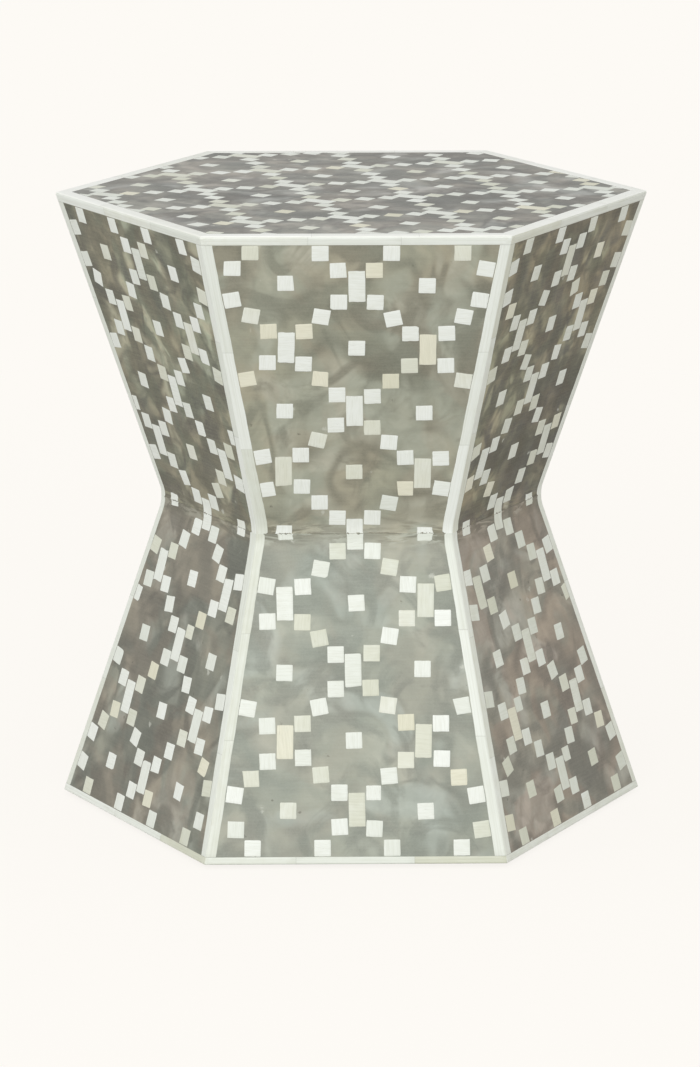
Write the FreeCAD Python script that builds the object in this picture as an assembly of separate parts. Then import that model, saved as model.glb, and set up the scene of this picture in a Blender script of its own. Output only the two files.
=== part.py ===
import FreeCAD, Part
import math
import os
import random

# A hexagonal stool with a narrow waist, clad all over in bone and grey resin inlay.
#
# Two hollow hexagonal tiers of board, one upside down on the other, meet at the waist.
# Each tier is six mitred boards on glued corner blocks, closed at the waist by a plate.
# Screws join the two waist plates. A top board closes the upper tier, a screwed base board
# the lower one, and six nailed glides stand under it.
# On the boards lies a thin skin: strips of bone along every arris, square bone tiles in a
# lattice of crosses and single squares, and resin poured level between them.
#
# +Z is up. The origin is on the floor, under the middle of the stool. The front faces -Y.
# All sizes are in millimetres and all angles in degrees.

# The body
end_side = 217.5            # side of the hexagon at the top and at the foot, at its sharp arris
waist_side = 140.0
tier_height = 228.5         # from the waist to the top face, and from the foot to the waist
board_thickness = 12.0      # the twelve side boards
top_board_thickness = 15.0
base_board_thickness = 12.0
waist_plate_thickness = 12.0
corner_block_leg = 30.0     # along each of the two boards that a corner block joins

# The inlay
inlay_thickness = 2.5       # bone and resin alike
corner_strip_width = 7.3
rim_strip_width = 7.0       # on the sides, right under the top face
top_strip_width = 11.0      # on the top face, along its edge
base_strip_width = 5.6
bone_length = 105.0         # the longest strip that one bone gives
bone_joint = 0.08           # glue between two lengths of strip
tile_pitch = 12.5
tile_joint = 0.3            # between two tiles that stand straight in their places
least_joint = 0.1           # between two tiles that lean towards each other, or a tile and a strip
tile_wander = 0.45          # how far a tile may lie from its place
single_wander = 1.1         # the same, for a square that stands alone
fitted_wander = 0.1         # the same, for one that is laid against a strip
lattice_drift = 1.2         # how far the whole lattice strays, as it is laid by eye
drift_length = 210.0        # over which it strays one way and back
chip_length = 2.4           # the most that is sawn off a chipped corner
taper_length = 1.6          # the most by which one side is sawn askew
rim_round = 1.6             # the arrises, rubbed round
arris_round = 1.5
base_round = 0.8

# Fasteners and glides
glide_height = 3.0
glide_radius = 11.0
glide_round = 1.2
glide_nail_radius = 1.5
glide_nail_length = 9.0
glide_inset = 30.0          # from the inner corner of the boards to the glide's axis
screw_radius = 2.0
screw_head_radius = 4.0
screw_head_height = 2.2
screw_point = 3.0
base_screw_length = 27.0
base_screw_inset = 3.0      # from the inner corner of the boards to the axis, at the screw's point
waist_screw_length = 21.0
waist_screw_circle = 68.0   # radius of the circle that the waist screws stand on
driver_slot_width = 0.9
driver_slot_depth = 1.3
hole_clearance = 0.05       # around each screw and nail
overrun = 4.0               # how far a cutting shape reaches past what it cuts
cut_tolerance = 0.0001      # faces of two shapes that lie closer than this are one face
least_crumb = 3.0           # in cubic millimetres: a crumb smaller than this is left out

side_names = ["front", "front_right", "back_right", "back", "back_left", "front_left"]
side_turn = 60.0            # from one side to the next
front_angle = -90.0         # the way the front side faces
half_turn = math.radians(side_turn / 2)
top_pattern_turn = 60.0     # the top's lattice runs square to the front right side

# How far tiles lean out of square, in degrees: beside a cross's bar, the bar itself,
# the square that links two crosses, the one that stands alone and the one against a strip
tilt_of = {"square": 3.0, "bar": 1.5, "link": 14.0, "single": 3.0, "fitted": 1.5}
side_tile_share = 0.55      # on a side, a tile cut down to less than this share is left out
waist_tile_share = 0.45     # the same, for one that the waist cuts in half
top_tile_share = 0.2        # the same on the top, where tiles are cut to fit its edge strips
most_pushes = 5             # how often a tile is pushed clear before it is laid otherwise
push_excess = 1.6           # how much further it is pushed than it overlaps
trim_shares = [1.0, 0.97, 0.94, 0.9, 0.85]
ease_shares = [1.0, 0.5, 0.25, 0.0]
push_shares = (-0.2, 0.32)  # a tile this far short of a strip, as a share of its side, is laid against it
flaw_shares = (0.07, 0.14)  # tiles with a chipped corner, and these with ones sawn askew
least_flaw_share = 0.35     # the least chip or taper, as a share of the most
strip_joint_shares = 0.12   # how far a joint in a strip strays, as a share of a length
strip_taper_share = 0.18    # how far a corner strip's width strays at either end

foot_z = glide_height
waist_z = foot_z + tier_height
top_z = waist_z + tier_height

z_axis = FreeCAD.Vector(0, 0, 1)
origin = FreeCAD.Vector(0, 0, 0)


class Tier:
    """One of the two bodies: a hexagon at the waist that widens to another at its end."""

    def __init__(self, name, away, end_strip_width, end_round):
        self.name = name
        self.away = away                              # from the waist to the end, along Z
        self.end_strip_width = end_strip_width
        self.end_round = end_round
        self.end_z = waist_z + away * tier_height
        spread = (end_side - waist_side) * math.cos(half_turn)
        self.lean = math.atan2(spread, tier_height)
        self.slant = math.hypot(spread, tier_height)  # length of a side face, waist to end

    def side_at(self, z, depth=0.0):
        """Side of the hexagon at height z, on the surface that lies depth inside the skin."""
        outer = waist_side + (end_side - waist_side) * abs(z - waist_z) / tier_height
        return outer - depth / math.cos(self.lean) / math.cos(half_turn)

    def half_width(self, along):
        """Half the width of a side face at a distance along it from the waist."""
        return (waist_side + (end_side - waist_side) * along / self.slant) / 2


upper = Tier("upper", 1, rim_strip_width, rim_round)
lower = Tier("lower", -1, base_strip_width, base_round)


# Solids from points and outlines

def hexagon_corner(side, index, z):
    """Corner of a hexagon with that side, on the left of side face number index."""
    angle = math.radians(front_angle + side_turn * index) - half_turn
    return FreeCAD.Vector(side * math.cos(angle), side * math.sin(angle), z)


def solid_between(first, second):
    """Solid between two outlines with as many corners each, joined corner to corner."""
    facing = (first[1] - first[0]).cross(first[2] - first[1])
    if facing.dot(second[0] - first[0]) > 0:      # every face must look outwards
        first, second = first[::-1], second[::-1]
    faces = [first, second[::-1]]
    for i in range(len(first)):
        j = (i + 1) % len(first)
        faces.append([first[j], first[i], second[i], second[j]])
    return Part.Solid(Part.Shell([Part.Face(Part.makePolygon(f + [f[0]])) for f in faces]))


def hexagonal_block(side_low, z_low, side_high, z_high):
    """Six-sided block that tapers from one hexagon to another."""
    low = [hexagon_corner(side_low, i, z_low) for i in range(6)]
    high = [hexagon_corner(side_high, i, z_high) for i in range(6)]
    return solid_between(low, high)


def mitred_piece(index, outer, inner):
    """Piece of one side between two surfaces. Each is given by (side, z) at its two ends."""
    def outline(ends):
        (side_a, z_a), (side_b, z_b) = ends
        return [hexagon_corner(side_a, index, z_a), hexagon_corner(side_a, index + 1, z_a),
                hexagon_corner(side_b, index + 1, z_b), hexagon_corner(side_b, index, z_b)]
    return solid_between(outline(outer), outline(inner))


def flat_face(points):
    """Plane face in the XY plane from (x, y) points."""
    corners = [FreeCAD.Vector(x, y, 0) for x, y in points]
    return Part.Face(Part.makePolygon(corners + [corners[0]]))


def slab(face, depth, proud=0.0):
    """A face of the skin's outer surface, carried inwards to a depth from proud of it."""
    return face.translated(z_axis * proud).extrude(z_axis * (-proud - depth))


def revolved(profile):
    """Solid turned about Z from (radius, z) points, the first and last on the axis."""
    points = [FreeCAD.Vector(r, 0, z) for r, z in profile]
    return Part.Face(Part.makePolygon(points + [points[0]])).revolve(origin, z_axis, 360)


# Outlines in the plane of a side: s runs across, t runs from the waist to the far end

def clipped(polygon, edge_start, edge_end):
    """The part of a convex polygon that lies left of the line from start to end."""
    (x0, y0), (x1, y1) = edge_start, edge_end

    def inside(p):
        return (x1 - x0) * (p[1] - y0) - (y1 - y0) * (p[0] - x0)

    kept = []
    for i, p in enumerate(polygon):
        q = polygon[(i + 1) % len(polygon)]
        a, b = inside(p), inside(q)
        if a >= 0:
            kept.append(p)
        if a * b < 0:
            share = a / (a - b)
            kept.append((p[0] + (q[0] - p[0]) * share, p[1] + (q[1] - p[1]) * share))
    return kept


def clipped_to(polygon, field):
    """The part of a convex polygon inside a convex field that runs anticlockwise."""
    for i, start in enumerate(field):
        polygon = clipped(polygon, start, field[(i + 1) % len(field)])
        if len(polygon) < 3:
            return []
    return polygon


def area_of(polygon):
    """Area of a polygon that runs anticlockwise."""
    total = 0.0
    for i, (x, y) in enumerate(polygon):
        x2, y2 = polygon[(i + 1) % len(polygon)]
        total += x * y2 - x2 * y
    return total / 2


def gap_between(a, b):
    """Clear width between two convex polygons, seen along the best of their edges."""
    widest = -math.inf
    for one, other in ((a, b), (b, a)):
        for i, (x, y) in enumerate(one):
            x2, y2 = one[(i + 1) % len(one)]
            length = math.hypot(x2 - x, y2 - y)
            nearest = min(((q[0] - x) * (y2 - y) - (q[1] - y) * (x2 - x)) / length for q in other)
            widest = max(widest, nearest)
    return widest


# The tile pattern

def lattice(reach, cross_at_middle, seed):
    """Places of the tiles: (kind, s, t, width, height), out to reach each way.

    Crosses and single squares alternate like the fields of a chessboard, four pitches
    apart. A cross is an upright bar, two pitches long, with a square at each corner.
    """
    drift = random.Random(seed + " drift")
    slopes = [drift.uniform(-1, 1) for _ in range(2)]
    starts = [drift.uniform(0, 2 * math.pi) for _ in range(2)]
    step = 4 * tile_pitch
    count = math.ceil(reach / step) + 1
    side = tile_pitch - tile_joint
    places = []
    for row in range(-count, count + 1):
        for column in range(-count, count + 1):
            s, t = column * step, row * step
            if (row + column) % 2 == (0 if cross_at_middle else 1):
                places.append(("bar", s, t, side, 2 * tile_pitch))
                for ds in (-tile_pitch, tile_pitch):
                    for dt in (-tile_pitch, tile_pitch):
                        places.append(("square", s + ds, t + dt, side, side))
                for dt in (-2 * tile_pitch, 2 * tile_pitch):
                    places.append(("link", s + 2 * tile_pitch, t + dt, side, side))
            else:
                places.append(("single", s, t, side, side))

    def strayed(along, aside, slope, start):
        return lattice_drift * math.sin(2 * math.pi * (along + slope * aside) / drift_length + start)

    drifted = []
    for kind, s, t, width, height in places:
        eased = min(1, abs(t) / step)             # rows meet at the waist, and don't stray there
        ds, dt = strayed(t, s, slopes[0], starts[0]), strayed(s, t, slopes[1], starts[1])
        drifted.append((kind, s + ds * eased, t + dt * eased, width, height))
    return drifted


def against_strip(place, guides):
    """A tile that lies close to a strip, moved up to it: its place, and how far it is turned.

    A guide is the inner edge of a strip, a line with the field on its left.
    """
    kind, s, t, width, height = place
    turn = 0.0
    for (x0, y0), (x1, y1) in guides:
        angle = math.atan2(y1 - y0, x1 - x0)
        askew = angle - round(angle * 2 / math.pi) * math.pi / 2
        upright = abs(math.sin(angle)) > abs(math.cos(angle))
        distance = (t - y0) * math.cos(angle) - (s - x0) * math.sin(angle)
        gap = distance - (width if upright else height) / 2
        if push_shares[0] * width < gap < push_shares[1] * width:
            kind, turn = "fitted", turn if turn else askew
            move = gap - tile_joint / 2
            s, t = s + math.sin(angle) * move, t - math.cos(angle) * move
    return (kind, s, t, width, height), turn


def sawn(corners, flaw, which, size):
    """Corners of a tile as it was sawn: now and then one is chipped, or a side runs askew."""
    if flaw > flaw_shares[1]:
        return corners
    corners = corners[which:] + corners[:which]
    (x0, y0), (x1, y1), (x2, y2) = corners[-1], corners[0], corners[1]
    back, ahead = math.hypot(x0 - x1, y0 - y1), math.hypot(x2 - x1, y2 - y1)
    size = least_flaw_share + (1 - least_flaw_share) * size
    if flaw < flaw_shares[0]:
        cut_back, cut_ahead = chip_length * size / back, chip_length * (1 - size / 2) / ahead
        chipped = [(x1 + (x0 - x1) * cut_back, y1 + (y0 - y1) * cut_back),
                   (x1 + (x2 - x1) * cut_ahead, y1 + (y2 - y1) * cut_ahead)]
        return chipped + corners[1:]
    drawn = taper_length * size / ahead
    return [(x1 + (x2 - x1) * drawn, y1 + (y2 - y1) * drawn)] + corners[1:]


def tile_outline(place, hand, ease=0.0, trim=1.0, lie=0.0):
    """Corners of a tile as it is laid: turned to lie, moved and turned by ease, and trimmed."""
    kind, s, t, width, height = place
    shift_s, shift_t, turn, *flaw = hand
    wander = {"single": single_wander, "fitted": fitted_wander}.get(kind, tile_wander)
    angle = lie + math.radians(turn * tilt_of[kind] * ease)
    s, t = s + shift_s * wander * ease, t + shift_t * wander * ease
    corners = []
    for across, up in ((-1, -1), (1, -1), (1, 1), (-1, 1)):
        a, b = across * width * trim / 2, up * height * trim / 2
        corners.append((s + a * math.cos(angle) - b * math.sin(angle),
                        t + a * math.sin(angle) + b * math.cos(angle)))
    return sawn(corners, *flaw)


def laid_tiles(places, field, shown_field, least_share, seed, guides=()):
    """Lays the tiles one by one in a field, each clear of those that lie there already."""
    hand = random.Random(seed)
    laid = []
    for place in places:
        draw = [hand.uniform(-1, 1) for _ in range(3)] + [hand.random(), hand.randrange(4), hand.random()]
        full = tile_outline(place, draw)
        shown = clipped_to(full, shown_field)
        if not shown or area_of(shown) < least_share * area_of(full):
            if place[0] not in ("bar", "single") or not shown_at_waist(full, shown, field):
                continue
        fitted, lie = against_strip(place, guides)
        tries = [(fitted, e, 1.0, lie) for e in ease_shares] if fitted != place else []
        tries += [(place, e, 1.0, 0.0) for e in ease_shares] + [(place, 0.0, s, 0.0) for s in trim_shares]
        reach = 3 * tile_pitch
        near = [o for o in laid if abs(o[0][0] - place[1]) < reach and abs(o[0][1] - place[2]) < reach]
        for tried, ease, trim, lie in tries:
            outline = settled(tried, draw, ease, trim, lie, field, near)
            if outline:
                laid.append(outline)
                break
    return laid


def settled(place, draw, ease, trim, lie, field, near):
    """Outline of a tile, pushed clear of its neighbours, or nothing if that takes too long."""
    kind, s, t, width, height = place
    for _ in range(most_pushes):
        outline = clipped_to(tile_outline((kind, s, t, width, height), draw, ease, trim, lie), field)
        if not outline:
            return None
        gap, other = min([(gap_between(outline, o), o) for o in near] + [(least_joint, outline)])
        if gap >= least_joint:
            return outline
        ds, dt = s - sum(p[0] for p in other) / len(other), t - sum(p[1] for p in other) / len(other)
        push = (least_joint - gap) * push_excess / math.hypot(ds, dt)
        s, t = s + ds * push, t + dt * push
    return None


def shown_at_waist(full, shown, field):
    """True for a tile that the waist line cuts in half, and nothing else does."""
    crosses = min(p[1] for p in full) < 0 < max(p[1] for p in full) and min(p[1] for p in field) < 0
    return crosses and bool(shown) and area_of(shown) > waist_tile_share * area_of(full)


# The skin of a side

def strip_lengths(start, end, seed):
    """Where a strip of bone is jointed: (from, to) of each length between start and end."""
    count = max(1, math.ceil((end - start) / bone_length))
    hand = random.Random(seed)
    length = (end - start) / count
    joints = [start + length * (i + hand.uniform(-1, 1) * strip_joint_shares) for i in range(1, count)]
    ends = [start] + joints + [end]
    return list(zip(ends[:-1], ends[1:]))


class Strip:
    """A strip that lies left of a line. Its width runs from one value to another."""

    def __init__(self, start, end, widths, seed, ends_run_on):
        self.start, self.end, self.widths = start, end, widths
        self.seed, self.ends_run_on = seed, ends_run_on
        self.length = math.hypot(end[0] - start[0], end[1] - start[1])

    def point(self, distance, aside):
        """Point at a distance along the line, and aside to its left."""
        (x0, y0), (x1, y1) = self.start, self.end
        a, b = distance / self.length, aside / self.length
        return (x0 + (x1 - x0) * a - (y1 - y0) * b, y0 + (y1 - y0) * a + (x1 - x0) * b)

    def inner(self, distance):
        """Point of the inner edge."""
        first, last = self.widths
        return self.point(distance, first + (last - first) * distance / self.length)

    def across_at(self, t):
        """Where the inner edge, run on as far as need be, crosses the height t."""
        (s0, t0), (s1, t1) = self.inner(0), self.inner(self.length)
        return s0 + (s1 - s0) * (t - t0) / (t1 - t0)

    def outlines(self):
        """Outlines of its lengths, which overrun the line to its right."""
        pieces = []
        spans = strip_lengths(0, self.length, self.seed)
        for i, (a, b) in enumerate(spans):
            first, last = i == 0, i == len(spans) - 1
            a = a - overrun if first and self.ends_run_on[0] else a + (0 if first else bone_joint / 2)
            b = b + overrun if last and self.ends_run_on[1] else b - (0 if last else bone_joint / 2)
            pieces.append([self.point(a, -overrun), self.point(b, -overrun), self.inner(b), self.inner(a)])
        return pieces


def corner_strip_widths(seed):
    """Widths of a corner strip at the start and the end of its line, as it was sawn."""
    hand = random.Random(seed + " widths")
    return [corner_strip_width * (1 + hand.uniform(-1, 1) * strip_taper_share) for _ in range(2)]


def side_placement(tier, index):
    """From the plane of a side face (s, t, outwards) to its place on the stool."""
    angle = math.radians(front_angle + side_turn * index)
    flat_out = FreeCAD.Vector(math.cos(angle), math.sin(angle), 0)
    out = flat_out * math.cos(tier.lean) - z_axis * (tier.away * math.sin(tier.lean))
    along = flat_out * math.sin(tier.lean) + z_axis * (tier.away * math.cos(tier.lean))
    across = along.cross(out)
    foot = flat_out * (waist_side * math.cos(half_turn)) + z_axis * waist_z
    return FreeCAD.Placement(FreeCAD.Matrix(
        across.x, along.x, out.x, foot.x, across.y, along.y, out.y, foot.y,
        across.z, along.z, out.z, foot.z, 0, 0, 0, 1))


def rounded_blocks(tier):
    """The whole tier as a block, once with its end rubbed round and once with its arrises."""
    block = hexagonal_block(waist_side, waist_z, end_side, tier.end_z)
    slanting = [e for e in block.Edges if abs(e.Vertexes[0].Z - e.Vertexes[1].Z) > tier_height / 2]
    outline = [e for e in block.Edges if all(abs(v.Z - tier.end_z) < least_joint for v in e.Vertexes)]
    return block.makeFillet(tier.end_round, outline), block.makeFillet(arris_round, slanting)


def skin_layer(tier, index, blocks):
    """The skin of one side, mitred to its neighbours, before it is split up."""
    beyond_z = tier.end_z + tier.away * overrun
    inner_z = top_z - inlay_thickness if tier is upper else beyond_z    # mitred to the top's skin
    outer = [(tier.side_at(waist_z, -overrun), waist_z), (tier.side_at(beyond_z, -overrun), beyond_z)]
    inner = [(tier.side_at(waist_z, inlay_thickness), waist_z),
             (tier.side_at(inner_z, inlay_thickness), inner_z)]
    return rubbed(mitred_piece(index, outer, inner), blocks)


def rubbed(piece, blocks):
    """A piece of skin that stands proud of the body, cut back to the rounded blocks."""
    for block in blocks:
        piece = piece.common([block], cut_tolerance)
    return piece


def side_skin(tier, index, blocks):
    """Strips, tiles and resin of one side face, each as one compound."""
    placement = side_placement(tier, index)
    layer = skin_layer(tier, index, blocks)
    layer.Placement = placement.inverse().multiply(layer.Placement)
    beyond_waist = other_half(tier)
    beyond_waist.Placement = placement.inverse()
    seed = f"{tier.name} {side_names[index]}"
    strip_end = tier.slant - tier.end_strip_width
    waist, shoulder, end = tier.half_width(0), tier.half_width(strip_end), tier.half_width(tier.slant)
    right = Strip((waist, 0), (shoulder, strip_end), corner_strip_widths(seed + " strip one"),
                  seed + " strip one", (True, False))
    left = Strip((-shoulder, strip_end), (-waist, 0), corner_strip_widths(seed + " strip two"),
                 seed + " strip two", (False, True))
    far = Strip((end, tier.slant), (-end, tier.slant), [tier.end_strip_width] * 2,
                seed + " end strip", (True, True))
    outlines = [clipped_strip(o, strip_end, tier.slant) for o in right.outlines() + left.outlines()]
    strips = [slab(flat_face(o), inlay_thickness + overrun, overrun).common(layer)
              for o in outlines + far.outlines()]

    def field(start, joint):
        outline = []
        for strip, away, t in ((left, joint, start), (right, -joint, start),
                               (right, -joint, strip_end - joint), (left, joint, strip_end - joint)):
            outline.append((strip.across_at(t) + away, t))
        return outline

    places = lattice(tier.slant, True, seed)
    guides = [(strip.inner(0), strip.inner(strip.length)) for strip in (right, left, far)]
    tile_outlines = laid_tiles(places, field(-overrun, least_joint), field(0, least_joint),
                               side_tile_share, seed, guides)
    tile_faces = [flat_face(o) for o in tile_outlines]
    tiles = []
    for outline, face in zip(tile_outlines, tile_faces):
        tile = slab(face, inlay_thickness)
        at_waist = min(t for s, t in outline) < inlay_thickness
        tiles.append(tile.cut(beyond_waist) if at_waist else tile)
    resin = slab(flat_face(field(-overrun, 0.0)).cut(tile_faces), inlay_thickness).cut(beyond_waist)
    return [at_place(shapes, placement) for shapes in (strips, tiles, [resin])]


def other_half(tier):
    """Block that fills all the room beyond the waist, seen from a tier."""
    reach = end_side + tier_height
    return Part.makeBox(2 * reach, 2 * reach, reach,
                        FreeCAD.Vector(-reach, -reach, waist_z - (reach if tier.away > 0 else 0)))


def clipped_strip(outline, strip_end, reach):
    """A corner strip stops at the strip along the end, which runs right across."""
    return clipped(outline, (reach, strip_end), (-reach, strip_end))


def at_place(shapes, placement):
    """All the solids of some shapes, moved to their place, as one compound."""
    solids = [s for shape in shapes for s in shape.Solids if s.Volume > least_crumb]
    for s in solids:
        s.Placement = placement.multiply(s.Placement)
    return Part.makeCompound(solids)


# The skin of the top

field_side = end_side - top_strip_width / math.cos(half_turn)     # inside the edge strips


def top_strips(blocks):
    """The strips along the edges of the top, mitred at its corners and to the sides' skin."""
    inner_z, beyond_z = top_z - inlay_thickness, top_z + overrun
    back_side = field_side - overrun
    outer = [(back_side, beyond_z), (upper.side_at(beyond_z, -overrun), beyond_z)]
    inner = [(back_side, inner_z), (upper.side_at(inner_z, inlay_thickness), inner_z)]
    strips = []
    for i in range(6):
        layer = rubbed(mitred_piece(i, outer, inner), blocks)
        start, end = hexagon_corner(end_side, i, top_z), hexagon_corner(end_side, i + 1, top_z)
        line = Strip((start.x, start.y), (end.x, end.y), [top_strip_width] * 2, f"top {i}", (True, True))
        for outline in line.outlines():
            strip = slab(flat_face(outline), inlay_thickness + overrun, overrun)
            strips.append(strip.translated(z_axis * top_z).common(layer))
    return at_place(strips, FreeCAD.Placement())


def top_tiles_and_resin():
    """The tiles of the top, and the sheet of resin round them."""
    placement = FreeCAD.Placement(z_axis * top_z, FreeCAD.Rotation(z_axis, top_pattern_turn))
    sheet, field = [[(c.x, c.y) for c in (hexagon_corner(side, i, 0) for i in range(6))]
                    for side in (field_side, field_side - least_joint / math.cos(half_turn))]
    outlines = laid_tiles(lattice(end_side, False, "top"), field, field, top_tile_share, "top")
    tile_faces = [flat_face(o) for o in outlines]
    tiles = [slab(f, inlay_thickness) for f in tile_faces]
    resin = slab(flat_face(sheet).cut(tile_faces), inlay_thickness)
    return at_place(tiles, placement), at_place([resin], placement)


# Boards, plates and blocks

skin_depth = inlay_thickness
inside_depth = inlay_thickness + board_thickness
top_board_z = top_z - inlay_thickness - top_board_thickness
base_board_z = foot_z + base_board_thickness


def side_board(tier, index):
    """One side board, mitred to its neighbours and at the waist."""
    end_z = top_board_z if tier is upper else foot_z
    surfaces = []
    for depth in (skin_depth, inside_depth):
        surfaces.append([(tier.side_at(waist_z, depth), waist_z), (tier.side_at(end_z, depth), end_z)])
    return mitred_piece(index, *surfaces)


def top_board():
    """Board that lies on the upper tier, its edge in line with the side boards."""
    high = top_z - inlay_thickness
    return hexagonal_block(upper.side_at(top_board_z, skin_depth), top_board_z,
                           upper.side_at(high, skin_depth), high)


def inside_plate(tier, z_a, z_b):
    """Plate that fills a tier from side to side between two heights."""
    low, high = min(z_a, z_b), max(z_a, z_b)
    return hexagonal_block(tier.side_at(low, inside_depth), low, tier.side_at(high, inside_depth), high)


def corner_block(tier, index, z_a, z_b):
    """Three-cornered block glued in the angle between two side boards."""
    outlines = []
    for z in (z_a, z_b):
        side = tier.side_at(z, inside_depth)
        corner = hexagon_corner(side, index, z)
        before, after = hexagon_corner(side, index - 1, z), hexagon_corner(side, index + 1, z)
        share = corner_block_leg / side
        outlines.append([corner, corner + (after - corner) * share, corner + (before - corner) * share])
    return solid_between(*outlines)


# Screws and glides

def screw_body(length, clearance=0.0, slotted=True):
    """Countersunk wood screw, its head level with z = 0 and its point up."""
    radius, head = screw_radius + clearance, screw_head_radius + clearance
    body = revolved([(0, 0), (head, 0), (radius, screw_head_height),
                     (radius, length - screw_point), (0, length)])
    if not slotted:
        return body
    for angle in (0, 90):
        slot = Part.makeBox(screw_head_radius, driver_slot_width, driver_slot_depth + overrun,
                            FreeCAD.Vector(-screw_head_radius / 2, -driver_slot_width / 2, -overrun))
        slot.rotate(origin, z_axis, angle)
        body = body.cut(slot)
    return body


def glide_body():
    """Round nylon glide with its nail, standing on z = 0."""
    disc = Part.makeCylinder(glide_radius, glide_height)
    rim = [e for e in disc.Edges if e.BoundBox.ZMax < glide_height / 2 and len(e.Vertexes) == 1]
    disc = disc.makeFillet(glide_round, rim)
    nail = Part.makeCylinder(glide_nail_radius, glide_height / 2 + glide_nail_length)
    return disc.fuse(nail.translated(z_axis * (glide_height / 2)))


def around(shape, radius, z, angle_from_front):
    """Six copies of a shape on a circle, one for each corner or side."""
    copies = []
    for i in range(6):
        angle = math.radians(front_angle + angle_from_front + side_turn * i)
        copy = shape.copy()
        copy.translate(FreeCAD.Vector(radius * math.cos(angle), radius * math.sin(angle), z))
        copies.append(copy)
    return copies


screw_corner = lower.side_at(foot_z + base_screw_length, inside_depth)
base_screw_place = (screw_corner - base_screw_inset, foot_z, side_turn / 2)
waist_screw_place = (waist_screw_circle, waist_z - waist_plate_thickness, side_turn / 2)
glide_place = (lower.side_at(foot_z, inside_depth) - glide_inset, 0.0, side_turn / 2)


def export(name, shape):
    """Writes one node."""
    shape.exportStep(os.path.join("parts", name + ".step"))


def build():
    """Makes every piece and writes it."""
    os.makedirs("parts", exist_ok=True)
    for tier in (upper, lower):
        blocks = rounded_blocks(tier)
        for index, side in enumerate(side_names):
            strips, tiles, resin = side_skin(tier, index, blocks)
            export(f"{tier.name}_bone_strips_{side}", strips)
            export(f"{tier.name}_bone_tiles_{side}", tiles)
            export(f"{tier.name}_resin_{side}", resin)
            export(f"{tier.name}_board_{side}", side_board(tier, index))
        if tier is upper:
            export("top_bone_strips", top_strips(blocks))
    top_tiles, top_resin = top_tiles_and_resin()
    export("top_bone_tiles", top_tiles)
    export("top_resin", top_resin)
    export("top_board", top_board())

    waist_holes = around(screw_body(waist_screw_length, hole_clearance, False), *waist_screw_place)
    base_holes = around(screw_body(base_screw_length, hole_clearance, False), *base_screw_place)
    nail_hole = Part.makeCylinder(glide_nail_radius + hole_clearance,
                                  glide_height + glide_nail_length + hole_clearance)
    nail_holes = around(nail_hole, *glide_place)
    upper_plate_z = waist_z + waist_plate_thickness
    lower_plate_z = waist_z - waist_plate_thickness
    export("upper_waist_plate", inside_plate(upper, waist_z, upper_plate_z).cut(waist_holes))
    export("lower_waist_plate", inside_plate(lower, waist_z, lower_plate_z).cut(waist_holes))
    export("base_board", inside_plate(lower, foot_z, base_board_z).cut(base_holes + nail_holes))
    upper_blocks = [corner_block(upper, i, upper_plate_z, top_board_z) for i in range(6)]
    lower_blocks = [corner_block(lower, i, base_board_z, lower_plate_z).cut(base_holes) for i in range(6)]
    export("upper_corner_blocks", Part.makeCompound(upper_blocks))
    export("lower_corner_blocks", Part.makeCompound([s for b in lower_blocks for s in b.Solids]))
    export("waist_screws", Part.makeCompound(around(screw_body(waist_screw_length), *waist_screw_place)))
    export("base_screws", Part.makeCompound(around(screw_body(base_screw_length), *base_screw_place)))
    export("foot_glides", Part.makeCompound(around(glide_body(), *glide_place)))


build()
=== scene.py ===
import math
import random

import bpy
import numpy as np
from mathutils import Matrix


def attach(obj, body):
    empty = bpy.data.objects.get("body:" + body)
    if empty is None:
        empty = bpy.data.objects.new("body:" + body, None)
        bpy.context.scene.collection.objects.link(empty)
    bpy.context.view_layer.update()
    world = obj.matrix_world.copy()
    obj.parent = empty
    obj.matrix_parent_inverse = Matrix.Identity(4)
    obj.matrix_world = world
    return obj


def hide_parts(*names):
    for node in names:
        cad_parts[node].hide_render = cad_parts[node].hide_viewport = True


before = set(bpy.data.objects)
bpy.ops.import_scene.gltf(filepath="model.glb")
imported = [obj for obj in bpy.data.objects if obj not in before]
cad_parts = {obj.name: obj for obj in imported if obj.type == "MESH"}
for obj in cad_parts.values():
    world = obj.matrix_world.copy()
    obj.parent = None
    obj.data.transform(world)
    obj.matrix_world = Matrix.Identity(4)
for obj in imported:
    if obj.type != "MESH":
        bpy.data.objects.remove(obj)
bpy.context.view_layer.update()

# A hexagonal stool with a narrow waist, clad in bone tiles, bone strips and grey resin.
#
# The carcass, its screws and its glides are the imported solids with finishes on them. The skin
# is made here: on every face a sheet of resin, the tiles that lie in it and the strips along
# its arrises. Each is worked out in the plane of its face (s across, t from the waist to the
# far end, h outwards) and placed by one rule, which mitres the skin at the arrises and fills
# the fold at the waist with a soft hollow.

MM = 0.001

# The body, as in its solids
end_side = 217.5 * MM
waist_side = 140.0 * MM
tier_height = 228.5 * MM
foot_z = 3.0 * MM
waist_z = foot_z + tier_height
top_z = waist_z + tier_height
inlay_depth = 2.5 * MM
corner_strip_width = 7.3 * MM
strip_taper_share = 0.18
rim_strip_width = 7.0 * MM
top_strip_width = 11.0 * MM
base_strip_width = 5.6 * MM
bone_length = 105.0 * MM
strip_joint_shares = 0.12
rim_round = 1.6 * MM
arris_round = 1.5 * MM
base_round = 0.8 * MM
half_turn = math.radians(30)
top_pattern_turn = math.radians(60)
side_names = ["front", "front_right", "back_right", "back", "back_left", "front_left"]

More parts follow.
